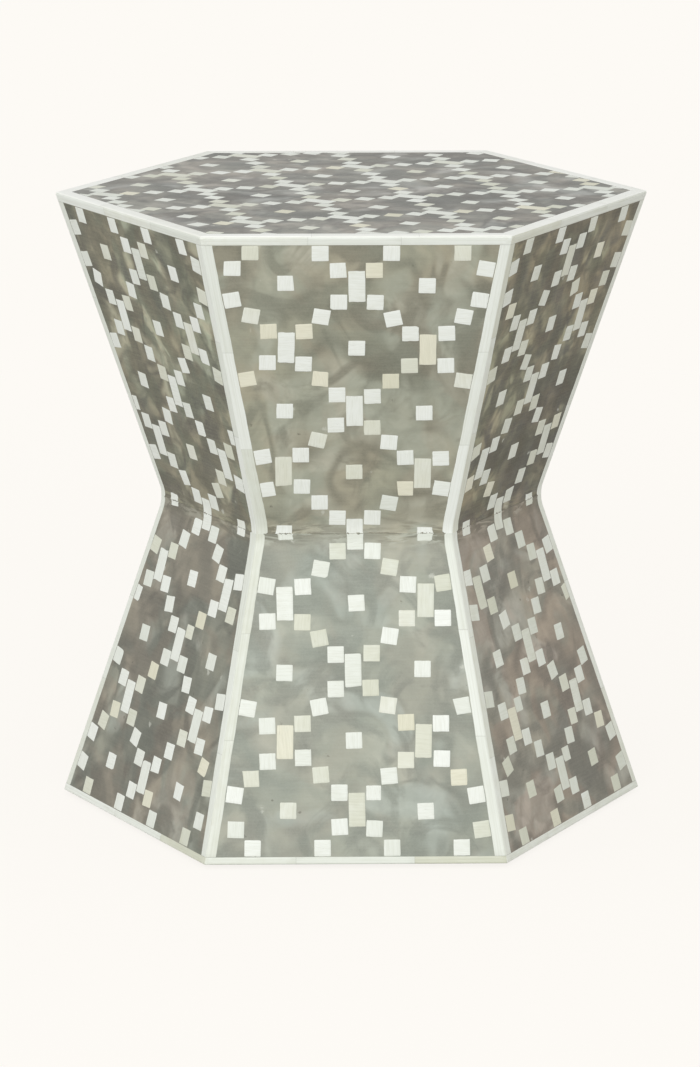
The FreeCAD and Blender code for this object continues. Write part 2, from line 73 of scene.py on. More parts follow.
# The skin's wear
bone_proud = 0.05 * MM  # bone is harder than resin, and stands out a little after sanding
joint_dip = 0.15 * MM  # depth of the worn groove round each piece of bone
joint_width = 0.26 * MM
waist_hollow = 33.0 * MM  # radius of the hollow that fills the fold at the waist
resin_tuck = 0.6 * MM  # the resin runs on this far under the strips
any_start = 6.3  # a wave starts anywhere in about a full turn

# The photograph's camera
camera_distance = 3.38003
camera_height = 1.030
camera_pitch = math.radians(13.775)
stool_turn = math.radians(0.9775)
camera_aside = -0.00106
camera_lens = 157.25


def srgb(red, green, blue):
    """Linear colour of a colour named in 0 to 255 display values."""
    shares = [c / 255 for c in (red, green, blue)]
    return [c / 12.92 if c <= 0.04045 else ((c + 0.055) / 1.055) ** 2.4 for c in shares] + [1.0]


# Faces of the skin

class Face:
    """A flat face of the skin: a frame at the middle of its foot, and its widening outline."""

    def __init__(self, name, foot, along, out, half_foot, half_end, length, corner_slope=0.0, lean=0.0):
        self.name = name
        self.tier, _, self.side = name.partition("_")
        self.foot, self.along, self.out = foot, along, out
        self.across = np.cross(along, out)
        self.half_foot, self.half_end, self.length = half_foot, half_end, length
        self.corner_slope = corner_slope  # how far the corner mitre draws in for each depth
        self.lean = lean

    def half_width(self, t):
        """Half the width of the face at a distance t from its foot, between its sharp arrises."""
        return self.half_foot + (self.half_end - self.half_foot) * t / self.length

    def fill(self, t):
        """Height of the hollow at the waist, R - sqrt(R^2 - near^2): a round on both faces."""
        reach = waist_hollow * math.tan(self.lean)
        near = np.clip(reach - t, 0, reach)
        return waist_hollow - np.sqrt(waist_hollow ** 2 - near ** 2)

    def place(self, s, t, h):
        """Points: foot + across * s + along * t + out * h, mitred at corner and waist."""
        reach = max(waist_hollow * math.tan(self.lean), MM)
        height = h + self.fill(t)
        width = np.maximum(self.half_width(t), MM)
        s = s * (1 + self.corner_slope * height / width)
        t = t + height * math.tan(self.lean) * np.clip(1 - t / reach, 0, 1)
        s, t, height = (np.asarray(v)[..., None] for v in np.broadcast_arrays(s, t, height))
        return self.foot + self.across * s + self.along * t + self.out * height

    def flat(self, points):
        """The (s, t, h) of points in space, without the mitres and the hollow."""
        local = points - self.foot
        return np.stack([local @ self.across, local @ self.along, local @ self.out], -1)


def direction(angle):
    """Level unit vector that points that way."""
    return np.array([math.cos(angle), math.sin(angle), 0.0])


UP = np.array([0.0, 0.0, 1.0])


def side_face(tier, index):
    """The face of one side of the upper or the lower tier."""
    away = 1 if tier == "upper" else -1
    spread = (end_side - waist_side) * math.cos(half_turn)
    lean = math.atan2(spread, tier_height)
    level = direction(-math.pi / 2 + 2 * half_turn * index)
    out = level * math.cos(lean) - UP * away * math.sin(lean)
    along = level * math.sin(lean) + UP * away * math.cos(lean)
    foot = level * waist_side * math.cos(half_turn) + UP * waist_z
    return Face(f"{tier}_{side_names[index]}", foot, along, out, waist_side / 2, end_side / 2,
                math.hypot(spread, tier_height), math.cos(lean) * math.tan(half_turn), lean)


def top_sector(index):
    """One of the six triangles of the top, from its middle to an edge."""
    level = direction(-math.pi / 2 + 2 * half_turn * index)
    return Face(f"top_{side_names[index]}", UP * top_z, level, UP, 0.0, end_side / 2,
                end_side * math.cos(half_turn))


def top_face():
    """The whole top, its lattice turned square to the front right side."""
    along = direction(math.pi / 2 + top_pattern_turn)
    return Face("top", UP * top_z, along, UP, end_side, end_side, end_side)


side_faces = [side_face(tier, i) for tier in ("upper", "lower") for i in range(6)]


# Meshes from arrays of points

sharp_angle = math.radians(35)  # an edge that turns by more isn't smoothed over


def ring_faces(rings, points, closed=True):
    """Quads between rings of points, each ring closed on itself or left open."""
    i, j = np.meshgrid(np.arange(rings - 1), np.arange(points if closed else points - 1), indexing="ij")
    k = (j + 1) % points
    quads = np.stack([i * points + j, i * points + k, (i + 1) * points + k, (i + 1) * points + j], -1)
    return quads.reshape(-1, 4)


def closed_faces(rings, points):
    """Quads between closed rings, a fan from the last to the point after it, and a foot."""
    last = (rings - 1) * points
    faces = ring_faces(rings, points).tolist()
    faces += [[last + i, last + (i + 1) % points, last + points] for i in range(points)]
    return faces + [list(range(points))[::-1]]


def in_scene(name, data):
    """An object in the scene, of a mesh, a lamp or a lens."""
    made = bpy.data.objects.new(name, data)
    bpy.context.scene.collection.objects.link(made)
    return made


def new_piece(name, parts, material, slot, node):
    """A mesh piece of parts: points, faces, a (u, v) for each point and named numbers for each."""
    points, faces, uv, values = joined(parts)
    mesh = bpy.data.meshes.new(name)
    mesh.from_pydata(points.tolist(), [], faces)
    corners = np.empty(len(mesh.loops), dtype=np.int32)
    mesh.loops.foreach_get("vertex_index", corners)
    layer = mesh.uv_layers.new(name="skin")
    layer.data.foreach_set("uv", uv[corners].astype(np.float32).ravel())
    for label, numbers in values.items():
        attribute = mesh.attributes.new(label, "FLOAT", "POINT")
        attribute.data.foreach_set("value", numbers.astype(np.float32))
    mesh.polygons.foreach_set("use_smooth", np.ones(len(mesh.polygons), dtype=bool))
    mesh.update()
    mesh.set_sharp_from_angle(angle=sharp_angle)
    mesh.materials.append(material)
    on_stool(in_scene(name, mesh), slot, node)


def joined(parts):
    """Several (points, faces, uv, values) as one."""
    points, faces, uv, values, start = [], [], [], {}, 0
    for p, f, u, v in parts:
        points.append(p.reshape(-1, 3))
        uv.append(u.reshape(-1, 2))
        faces += [[i + start for i in face] for face in f]
        for label, numbers in v.items():
            values.setdefault(label, []).append(numbers.ravel())
        start += points[-1].shape[0]
    values = {label: np.concatenate(numbers) for label, numbers in values.items()}
    return np.concatenate(points), faces, np.concatenate(uv), values


def draws_for(node):
    """Random draws that are other ones for each node, and the same in each run."""
    return np.random.default_rng(sum(map(ord, node)))


def on_stool(piece, slot, *nodes):
    """The piece is hung on the stool's body, and the solids it stands for are hidden; its slot is not used.
    """
    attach(piece, "root")
    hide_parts(*nodes)


# Tiles

outside_within = 0.1 * MM  # a triangle whose corners lie this near height 0 is on the outside
same_within = 0.01 * MM  # corners that lie this near each other are one
straight_turn = 0.01  # sine of a turn too slight to be a corner


def tile_outlines(node, face):
    """Outlines of the tiles of a solid node in the plane of their face, anticlockwise.

    The outer sides of the solids are the triangles at height 0. Two of them that share an
    edge are one tile's, and the edges that no other triangle shares make its outline.
    """
    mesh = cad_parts[node].data
    mesh.calc_loop_triangles()
    corners = np.empty(len(mesh.loop_triangles) * 3, dtype=np.int32)
    mesh.loop_triangles.foreach_get("vertices", corners)
    points = np.empty(len(mesh.vertices) * 3, dtype=np.float64)
    mesh.vertices.foreach_get("co", points)
    local = face.flat(points.reshape(-1, 3))[corners].reshape(-1, 3, 3)
    outer = local[np.abs(local[:, :, 2]).max(1) < outside_within][:, :, :2]
    keys = np.round(outer / same_within).astype(np.int64)
    place_of = {tuple(k): p for k, p in zip(keys.reshape(-1, 2), outer.reshape(-1, 2))}
    edges = {}
    for a, b, c in keys:
        for start, end in ((a, b), (b, c), (c, a)):
            edges[tuple(start), tuple(end)] = True
    follows = {start: end for start, end in edges if (end, start) not in edges}
    outlines = []
    while follows:
        loop = [next(iter(follows))]
        while loop[-1] in follows:
            loop.append(follows.pop(loop[-1]))
        outlines.append(np.array([place_of[k] for k in loop[:-1]]))
    return [straightened(o) for o in outlines]


def straightened(outline):
    """An outline without the points that lie on a straight stretch, and anticlockwise."""
    before, after = outline - np.roll(outline, 1, 0), np.roll(outline, -1, 0) - outline
    turn = np.abs(before[:, 0] * after[:, 1] - before[:, 1] * after[:, 0])
    lengths = straight_turn * np.linalg.norm(before, axis=1) * np.linalg.norm(after, axis=1)
    outline = outline[turn > lengths]
    x, y = outline.T
    area = (x * np.roll(y, -1) - np.roll(x, -1) * y).sum()
    return outline if area > 0 else outline[::-1]


# Where the points of a tile's side lie along it, closer together at its corners
side_shares = np.array([0.0, 0.03, 0.12, 0.3, 0.5, 0.7, 0.88, 0.97])
at_fold = 0.3 * MM  # a side that lies this near the waist line was broken over the fold
broken_points = 22
broken_depth = 1.1 * MM
neighbour_share = 0.4  # of each point's break that it takes from the point before it
joint_opens = 0.6 * MM  # at the waist the halves meet, and the joint opens with the breaks
least_opening = 0.12
# Rings of a tile from its foot inwards: how far in, as a share of the joint's width, how
# high, as a share of its dip, and how grimy
tile_ring_shares = [(0.0, -1.0, 1.0), (0.2, -0.35, 0.8), (0.6, 0.0, 0.3), (1.0, 0.2, 0.0)]
tile_middle_shares = [0.7, 0.35]
sawn_bow = 0.05 * MM
bow_waves = (1, 2, 3, 5, 11)  # turns of the waves round the outline that it is the sum of
corner_wear = (0.02 * MM, 0.22 * MM)
corner_reach = 0.5 * MM
grain_stray = 0.06  # how far the grain of a tile is turned off its sides


def tile_rim(outline, at_waist, hand):
    """Points round a tile, at start + (end - start) * share along each of its sides.

    A side that lies on the waist line is ragged: its points are set back by depth * draw ^ 3.
    """
    sides = []
    for start, end in zip(outline, np.roll(outline, -1, 0)):
        broken = at_waist and max(start[1], end[1]) < at_fold
        share = np.linspace(0, 1, broken_points + 1)[:-1] if broken else side_shares
        side = start + (end - start) * share[:, None]
        if broken:
            draw = hand.uniform(0, 1, len(share))
            draw = (1 - neighbour_share) * draw + neighbour_share * np.roll(draw, 1)
            side[:, 1] += broken_depth * draw ** 3
        sides.append(side)
    return np.concatenate(sides)


def tile_part(face, outline, hand):
    """One tile: its outline carried in along a worn edge to a flat middle.

    Ring by ring, point = outline + (middle - outline) * inset / reach, at the ring's height.
    The outline bows in and out a little between its corners, as a tile sawn by hand does.
    """
    rim = tile_rim(outline, face.lean > 0, hand)
    middle = rim.mean(0)
    reach = np.linalg.norm(rim - middle, axis=1).min()
    count = len(rim)
    bow, turns = np.zeros(count), np.arange(count) * 2 * math.pi
    for wave in bow_waves:
        bow += hand.normal() * np.sin(turns * wave / count + hand.uniform(0, any_start))
    bow = np.abs(bow) * sawn_bow
    to_corner = np.linalg.norm(rim[:, None] - outline[None], axis=2).min(1)
    bow += hand.uniform(*corner_wear) * np.clip(1 - to_corner / corner_reach, 0, 1)
    rings, heights, grime = [], [], []
    opening = np.clip(rim[:, 1] / joint_opens, least_opening, 1) if face.lean > 0 else np.ones(count)
    for inset, high, dark in tile_ring_shares:
        draw = (inset * joint_width + (bow if inset > 0 else 0)) * opening / reach
        rings.append(rim + (middle - rim) * draw[:, None])
        heights.append(high * joint_dip * opening + bone_proud * (high >= 0))
        grime.append(dark * opening)
    for left in tile_middle_shares:
        rings.append(middle + (rings[3] - middle) * left)
        heights.append(np.full(count, 0.2 * joint_dip + bone_proud))
        grime.append(np.zeros(count))
    rings = [rim] + rings + [middle[None]]
    heights = [np.full(count, -inlay_depth)] + heights + [heights[-1][:1]]
    grime = [np.ones(count)] + grime + [np.zeros(1)]
    flat = np.concatenate(rings)
    points = face.place(flat[:, 0], flat[:, 1], np.concatenate(heights))
    grain = hand.integers(0, 2) * math.pi / 2 + hand.normal() * grain_stray
    cos, sin = math.cos(grain), math.sin(grain)
    uv = (flat - middle) @ np.array([[cos, -sin], [sin, cos]]) + hand.uniform(-1, 1, 2)
    values = {"grime": np.concatenate(grime)}
    for label, number in bone_character(hand, tile_warmths, face).items():
        values[label] = np.full(len(flat), number)
    return points, closed_faces(len(rings) - 1, count), uv, values


# Where the white, the greyish and the creamy bone lie on the scale of warmth, and their shares
tile_warmths = ([0.0, 0.38, 0.95], [0.7, 0.22, 0.08])
strip_warmths = ([0.0, 0.15, 0.36], [0.7, 0.2, 0.1])
warmth_stray = 0.1
creamy_sides = {"front_right": 0.2, "back_right": 0.1}  # how much warmer the bone of a side is
top_strip_warmth = 0.3  # the strips round the top have this share of it
# How much brighter, or below 0 duller, the bone of a piece is: a random stray, and painted light and shade
# for each face, brighter or darker by how the light falls on it
tone_stray = 0.5
strip_painted_light = {"top": 1.2, "upper_front_right": 1.0, "lower_front_right": 0.8, "lower_front": -1.0}
tile_painted_light = {"top": 0.3, "upper_front": 1.2, "upper_front_left": 0.4, "lower_front_left": 0.4,
              "upper_front_right": 0.5, "lower_front": -0.2}


def bone_character(hand, warmths, face):
    """What sets one piece of bone apart: its brightness, random with its face's painted light and shade
    added, its warmth and its marking.
    """
    kinds, shares = warmths
    warm = hand.choice(kinds, p=shares) + hand.uniform(-warmth_stray, warmth_stray)
    warm = max(warm, 0.0) + creamy_sides.get(face.side, 0.0)
    tone = hand.normal() * tone_stray
    marking = hand.uniform(0, 1)
    # The face's shift of brightness is painted light and shade, not the bone's own tone
    painted_light_of_face = strip_painted_light if warmths is strip_warmths else tile_painted_light
    tone += painted_light_of_face.get(face.name if face.lean > 0 else "top", 0.0)
    if warmths is strip_warmths and face.lean == 0:
        warm *= top_strip_warmth
    return {"tone": tone, "warmth": warm, "marking": marking}


def tiles_piece(face, node, material):
    """All the tiles of a face."""
    hand = draws_for(node)
    parts = [tile_part(face, outline, hand) for outline in tile_outlines(node, face)]
    new_piece("tiles_" + face.name, parts, material, "bone", node)


# Strips

def strip_lengths(start, end, seed):
    """Where a strip of bone is jointed, by the same draw as in its solids."""
    count = max(1, math.ceil((end - start) / bone_length))
    hand = random.Random(seed)
    length = (end - start) / count
    joints = [start + length * (i + hand.uniform(-1, 1) * strip_joint_shares) for i in range(1, count)]
    ends = [start, *joints, end]
    return list(zip(ends[:-1], ends[1:]))


class StripEdge:
    """The inner edge of a corner strip, which was sawn a little wider at one end.

    It is the straight line through start + normal * width at the waist and at the shoulder,
    both on the face's right; a strip on the left is its mirror image. The widths are drawn
    going up on the right and down on the left.
    """

    def __init__(self, face, side, seed):
        self.face, self.side = face, side
        self.end_t = face.length - face_end[face.tier][0]
        shoulder = face.half_width(self.end_t)
        self.length = math.hypot(shoulder - face.half_foot, self.end_t)
        hand = random.Random(seed + " widths")
        widths = [corner_strip_width * (1 + hand.uniform(-1, 1) * strip_taper_share) for _ in range(2)]
        at_waist, at_shoulder = widths if side > 0 else widths[::-1]
        normal = np.array([-self.end_t, shoulder - face.half_foot]) / self.length
        self.low = np.array([face.half_foot, 0.0]) + normal * at_waist
        self.high = np.array([shoulder, self.end_t]) + normal * at_shoulder

    def half_field(self, t):
        """How far from the face's middle line the edge lies at t."""
        slope = (self.high[0] - self.low[0]) / (self.high[1] - self.low[1])
        return self.low[0] + (t - self.low[1]) * slope


# Points round an arris and round a corner, across a strip's flat and along an end strip
arris_points, corner_points, across_points, end_points = 7, 5, 6, 12
edge_drop = 0.4  # share of the joint's width in which a strip's edge is rounded off
edge_grime, side_grime = 0.4, 0.3
# Between the stations of a corner strip: in its length at the waist and in the others
fine_step, coarse_step = 1.0 * MM, 5.0 * MM
at_waist_within = 10 * MM
least_slope = 0.001


def arris_arc(radius, slope, steps, whole=False):
    """(distance in, height) along the round of an arris, from the face to its mitre.

    With k the mitre's slope, the round is (k r - r sin a, r cos a - r) for a from 0 to atan k.
    A whole round goes on past the mitre, to twice that angle.
    """
    angle = np.linspace(0, math.atan(slope) * (2 if whole else 1), steps)
    return np.stack([radius * slope - radius * np.sin(angle), radius * np.cos(angle) - radius], -1)


def strip_profile(width, radius, slope, whole=False):
    """Closed profile of a strip, in rows of (distance in from the arris, height, grime).

    It runs from the foot of the mitre round the arris, across the face, down the worn inner
    edge and back along the underside. A whole strip's foot leans by twice the mitre.
    """
    foot_slope = (slope ** 2 - 1) / (2 * slope) if whole else slope
    rows = [(foot_slope * inlay_depth, -inlay_depth, side_grime)]
    rows += [(a, h + bone_proud, 0.0) for a, h in arris_arc(radius, slope, arris_points, whole)[::-1]]
    across = np.linspace(radius * slope, width - joint_width, across_points)[1:]
    rows += [(a, bone_proud, 0.0) for a in across]
    rows += [(width - joint_width * edge_drop, 0.0, edge_grime)]
    rows += [(width, -joint_dip, 1.0), (width, -inlay_depth, 1.0)]
    return np.array(rows)


# The chip out of a corner strip's edge in the fold, and the waves in an edge filed by hand:
# radians to the metre, and how deep
notch_width, notch_height = 1.3 * MM, 1.1 * MM
filed_waves = ((90, 0.13 * MM), (230, 0.09 * MM), (510, 0.05 * MM), (1300, 0.03 * MM))
# Wear of a strip's jointed end: grime and share of the dip at the joint, and grime beside it
end_grime, end_dip, near_end_grime = 0.4, 0.3, 0.05


def hand_filed(t, starts):
    """How far an edge filed by hand strays from its line: the sum of depth * sin(wave t + start)."""
    return sum(depth * np.sin(wave * t + start) for (wave, depth), start in zip(filed_waves, starts))


def end_worn(count, worn_start, worn_end):
    """(grime, dip) along a length of strip, whose jointed ends are worn like its edges."""
    grime, dip = np.zeros(count), np.zeros(count)
    for worn, first, second in ((worn_start, 0, 1), (worn_end, -1, -2)):
        if worn:
            grime[first], dip[first] = end_grime, -joint_dip * end_dip
            grime[second] = near_end_grime
    return grime, dip


def strip_part(face, points, profile, stations, grime, hand, flip):
    """One length of strip from an array of points (stations, profile)."""
    count, around = points.shape[:2]
    quads = ring_faces(count, around)
    caps = [list(range(around))[::-1], [(count - 1) * around + i for i in range(around)]]
    faces = quads[:, ::-1].tolist() if flip else quads.tolist()
    faces += [c[::-1] for c in caps] if flip else caps
    u = np.repeat(stations[:, None], around, 1)
    v = np.repeat(profile[None, :, 0], count, 0)
    values = {"grime": np.clip(grime[:, None] + profile[None, :, 2], 0, 1)}
    for label, number in bone_character(hand, strip_warmths, face).items():
        values[label] = np.full(u.shape, number)
    uv = np.stack([u, v], -1) + hand.uniform(-1, 1, 2)
    return points, faces, uv, values


def corner_strip_parts(edge, seed, hand):
    """The lengths of the strip up one corner of a face.

    A point lies at t along the face and at half_width(t) - distance in across it, where the
    distance is stretched, past the round of the arris, to end on the strip's inner edge.
    """
    face, side = edge.face, edge.side
    stretch = edge.length / edge.end_t
    nominal, arris = corner_strip_width, arris_round * face.corner_slope
    profile = strip_profile(nominal, arris_round, face.corner_slope)
    distance, depth = profile[None, :, 0], profile[None, :, 1]
    spans = strip_lengths(0, edge.length, seed)
    if side < 0:
        spans = [(edge.length - b, edge.length - a) for a, b in spans]
    filed = hand.uniform(0, any_start, len(filed_waves))
    parts = []
    for a, b in spans:
        a, b = a / stretch, b / stretch
        step = fine_step if a < at_waist_within else coarse_step
        ends = [a, a + joint_width, b - joint_width, b]
        t = np.unique(np.concatenate([ends, np.arange(a + fine_step, b, step)]))
        grime, dip = end_worn(len(t), a > 0, True)
        half = face.half_width(t)[:, None]
        width = half - edge.half_field(t[:, None]) - hand_filed(t[:, None], filed)
        width = width - notch_width * np.clip(1 - t[:, None] / notch_height, 0, None)
        share = np.clip((distance - arris) / (nominal - arris), 0, None)
        inwards = np.where(distance > arris, arris + share * (width - arris), distance)
        buried = depth <= -inlay_depth
        drawn = np.where(buried, 1.0, 1 + face.corner_slope * depth / half)
        s = side * np.where(buried & (distance < nominal / 2), half, (half - inwards) / drawn)
        points = face.place(s, t[:, None], depth + dip[:, None])
        parts.append(strip_part(face, points, profile, t, grime, hand, side < 0))
    return parts


def end_strip_parts(face, seed, hand):
    """The lengths of the strip along the far end of a face.

    A point lies at length - distance in along the face. Near the corners the strip follows
    the round of the arris: half_width - a across it, at the round's height.
    """
    profile = strip_profile(*face_end[face.tier])
    t = face.length - profile[None, :, 0]
    half = face.half_width(t)
    arc = arris_arc(arris_round, max(face.corner_slope, least_slope), corner_points)[::-1]
    parts = []
    for a, b in strip_lengths(0, 2 * face.half_end, seed):
        s0, s1 = face.half_end - a, face.half_end - b  # the strip is laid from right to left
        at_start, at_end = a <= 0, b >= 2 * face.half_end
        rows = [(1, d, h) for d, h in arc] if at_start else [(0, s0, 0.0), (0, s0 - joint_width, 0.0)]
        rows += [(0, s, 0.0) for s in np.linspace(s0, s1, end_points)[1:-1]]
        rows += [(-1, d, h) for d, h in arc[::-1]] if at_end else [(0, s1 + joint_width, 0.0), (0, s1, 0.0)]
        kind, place, drop = (np.array(c)[:, None] for c in zip(*rows))
        corner = kind * (half - place) / (1 + face.corner_slope * drop / half)
        s = np.where(kind == 0, place, corner)
        grime, dip = end_worn(len(rows), not at_start, not at_end)
        height = profile[None, :, 1] + np.where(kind == 0, dip[:, None], drop)
        points = face.place(s, np.broadcast_to(t, s.shape), np.maximum(height, -inlay_depth))
        parts.append(strip_part(face, points, profile, -place[:, 0], grime, hand, True))
    return parts


# The strip along the far end of a face: its width, the round of its arris, the slope of its
# mitre, and whether it rounds the whole arris by itself
lean_angle = side_faces[0].lean
rim_slope = math.tan((math.pi / 2 + lean_angle) / 2)
face_end = {
    "upper": (rim_strip_width, rim_round, rim_slope, False),
    "lower": (base_strip_width, base_round, rim_slope, True),
    "top": (top_strip_width, rim_round, rim_slope, False),
}


def corner_strip_edges(face):
    """The inner edges of a face's corner strips, right and left, with their seeds."""
    name = face.name.replace("_", " ", 1)
    seeds = [f"{name} strip one", f"{name} strip two"]
    return [(StripEdge(face, side, seed), seed) for side, seed in zip((1, -1), seeds)]


def strips_piece(face, node, material):
    """All the strips of a side."""
    hand = draws_for(node)
    parts = []
    for edge, seed in corner_strip_edges(face):
        parts += corner_strip_parts(edge, seed, hand)
    parts += end_strip_parts(face, f"{face.tier} {face.side} end strip", hand)
    new_piece("strips_" + face.name, parts, material, "bone", node)


def top_strips_piece(node, material):
    """The six strips round the top."""
    hand = draws_for(node)
    parts = []
    for i in range(6):
        parts += end_strip_parts(top_sector(i), f"top {i}", hand)
    new_piece("strips_top", parts, material, "bone", node)


# Resin

hollow_rows, flat_rows, side_columns = 14, 30, 25
top_rings, points_per_edge = 24, 12


def sheet_part(face, s, t):
    """A closed sheet of resin: an outer grid of points, an inner one and the walls between."""
    rows, columns = s.shape
    outer = face.place(s, t, np.zeros_like(s))
    inner = face.place(s, t, np.full_like(s, -inlay_depth))
    quads = ring_faces(rows, columns, closed=False)
    shift = rows * columns
    index = np.arange(shift).reshape(rows, columns)
    border = np.concatenate([index[0, :-1], index[:-1, -1], index[-1, :0:-1], index[:0:-1, 0]])
    ahead = np.roll(border, -1)
    walls = np.stack([ahead, border, border + shift, ahead + shift], -1)
    faces = np.concatenate([quads, quads[:, ::-1] + shift, walls]).tolist()
    points = np.concatenate([outer.reshape(-1, 3), inner.reshape(-1, 3)])
    uv = np.stack([s, t], -1).reshape(-1, 2)
    return points, faces, np.concatenate([uv, uv]), {}


def side_resin(face, node, material):
    """The resin of a side, from the waist up to the end strip and between the corner strips.

    A point lies at s = left + (right - left) * share, where both reach under the strips.
    """
    (right, _), (left, _) = corner_strip_edges(face)
    reach = waist_hollow * math.tan(face.lean)
    flat = np.linspace(reach, right.end_t + resin_tuck, flat_rows)
    t = np.concatenate([np.linspace(0, reach, hollow_rows)[:-1], flat])[:, None]
    start, end = -left.half_field(t) - resin_tuck, right.half_field(t) + resin_tuck
    s = start + (end - start) * np.linspace(0, 1, side_columns)[None]
    sheet = sheet_part(face, s, np.broadcast_to(t, s.shape))
    new_piece("resin_" + face.name, [sheet], material, "grey_resin", node)


def top_resin(node, material):
    """The resin of the top: rings of a hexagon, at radius * rim, in from the edge strips."""
    face = top_face()
    reach = end_side - (top_strip_width - resin_tuck) / math.cos(half_turn)
    corner = np.array([[math.cos(a), math.sin(a)] for a in np.arange(6) * 2 * half_turn])
    share = (np.arange(points_per_edge) / points_per_edge)[None, :, None]
    rim = (corner[:, None] + (np.roll(corner, -1, 0) - corner)[:, None] * share).reshape(-1, 2)
    radii = np.linspace(reach, 0, top_rings + 1)[:-1]
    rings = (rim[None] * radii[:, None, None]).reshape(-1, 2)
    outline = rim * reach
    flat = np.concatenate([outline, rings, [[0.0, 0.0]]])
    height = np.concatenate([np.full(len(outline), -inlay_depth), np.zeros(len(rings) + 1)])
    points = face.place(flat[:, 0], flat[:, 1], height)
    sheet = (points, closed_faces(top_rings + 1, len(outline)), flat, {})
    new_piece("resin_top", [sheet], material, "grey_resin", node)


# Materials

class Finish:
    """A procedural material, or the world's shading, built node by node."""

    def __init__(self, name, world=None):
        self.material = world or bpy.data.materials.new(name)
        self.material.use_nodes = True
        self.tree = self.material.node_tree
        self.shader = self.tree.nodes["Background" if world else "Principled BSDF"]

    def node(self, kind, inputs=None, **settings):
        """A node with its settings, its inputs given as numbers or as other nodes' sockets."""
        made = self.tree.nodes.new("ShaderNode" + kind)
        for label, value in settings.items():
            setattr(made, label, value)
        for label, value in (inputs or {}).items():
            self.join(made.inputs[label], value)
        return made

    def join(self, socket, value):
        """Sets a socket to a number, or links another node's output to it."""
        if isinstance(value, bpy.types.NodeSocket):
            self.tree.links.new(value, socket)
        else:
            socket.default_value = value

    def math(self, operation, a, b=0.0):
        """Arithmetic on numbers or sockets."""
        return self.node("Math", {0: a, 1: b}, operation=operation).outputs[0]

    def times(self, a, b):
        """The product of two numbers or sockets."""
        return self.math("MULTIPLY", a, b)

    def strayed(self, value, noise, middle, depth):
        """A value moved up and down by a noise: value + (noise - middle) * depth."""
        return self.math("ADD", value, self.times(self.math("SUBTRACT", noise, middle), depth))

    def mix(self, share, first, second, blend="MIX"):
        """Two colours mixed."""
        made = self.node("Mix", data_type="RGBA", blend_type=blend)
        for index, value in ((0, share), (6, first), (7, second)):
            self.join(made.inputs[index], value)
        return made.outputs[2]

    def stain(self, share, colour, stain):
        """A colour multiplied by a stain, as far as the share says."""
        return self.mix(share, colour, stain, "MULTIPLY")

    def shades(self, factor, low, high, out_low=0.0, out_high=1.0):
        """A factor spread from one range to another, smoothly and no further."""
        ranges = {"Value": factor, "From Min": low, "From Max": high, "To Min": out_low, "To Max": out_high}
        return self.node("MapRange", ranges, interpolation_type="SMOOTHSTEP").outputs[0]

    def fades(self, distance, near, far, most=1.0):
        """A share that is at its most up to a near distance, and falls to 0 at a far one."""
        return self.shades(distance, near, far, most, 0.0)

    def place(self, shift=(0, 0, 0), scale=(1, 1, 1), turn=(0, 0, 0), on_map=False):
        """Coordinates in the object, or on its own map, moved, turned and stretched."""
        if on_map:
            source = self.node("UVMap", uv_map="skin").outputs[0]
        else:
            source = self.node("TexCoord").outputs["Object"]
        mapping = {"Vector": source, "Location": shift, "Scale": scale, "Rotation": turn}
        return self.node("Mapping", mapping).outputs[0]

    def noise(self, vector, scale, detail=2.0, rough=0.5, bend=0.0):
        """Cloudy noise, 0 to 1."""
        return self.node("TexNoise", {"Vector": vector, "Scale": scale, "Detail": detail,
                                                "Roughness": rough, "Distortion": bend}).outputs[0]

    def grained(self, along, across, shift=(0, 0, 0), detail=3, rough=0.5, bend=0.0):
        """Noise on the piece's own map, drawn out: its scales along and across the grain."""
        return self.noise(self.place(shift, (along, across, 1), on_map=True), 1.0, detail, rough, bend)

    def value(self, name):
        """A number that the mesh carries."""
        return self.node("Attribute", attribute_name=name).outputs["Fac"]

    def bump(self, height, distance, strength=1.0, before=None):
        """Relief of that depth."""
        inputs = {"Height": height, "Distance": distance, "Strength": strength}
        if before is not None:
            inputs["Normal"] = before
        return self.node("Bump", inputs).outputs[0]

    def finish(self, colour, roughness, normal=None, **constants):
        """Joins up the shader. Constants are set on its own sockets."""
        inputs = self.shader.inputs
        self.join(inputs["Base Color"], colour)
        self.join(inputs["Roughness"], roughness)
        if normal is not None:
            self.join(inputs["Normal"], normal)
        for label, number in constants.items():
            inputs[label.replace("_", " ")].default_value = number
        return self.material


# The resin of each face: its colour, partly the resin's own and partly painted light and shade
# (the upper front right face is painted darker and the back faces lighter, for how the light
# falls on them), how strongly it is clouded, and how far it turns between brownish and
# greenish. It is greener in front, browner at the sides and grey on top.
resin_mixes = {
    "upper_front": (srgb(158, 156, 138), 1.15, 0.5),
    "lower_front": (srgb(159, 162, 149), 0.95, 0.35),
    "upper_front_right": (srgb(107, 102, 79), 3.7, 1.0),
    "lower_front_right": (srgb(151, 144, 130), 1.45, 1.0),
    "upper_front_left": (srgb(129, 128, 107), 2.9, 1.0),
    "lower_front_left": (srgb(139, 137, 124), 1.45, 1.0),
    "upper_back_right": (srgb(132, 129, 113), 1.5, 1.0),
    "lower_back_right": (srgb(151, 147, 134), 1.25, 1.0),
    "upper_back_left": (srgb(151, 148, 134), 1.5, 1.0),
    "lower_back_left": (srgb(150, 148, 138), 1.25, 1.0),
    "upper_back": (srgb(155, 154, 139), 1.15, 0.5),
    "lower_back": (srgb(158, 157, 144), 0.95, 0.35),
    "top": (srgb(147, 145, 137), 1.7, 0.45),
}
brown_tint = [1.04, 0.985, 0.975, 1]
green_tint = [0.96, 1.012, 1.025, 1]

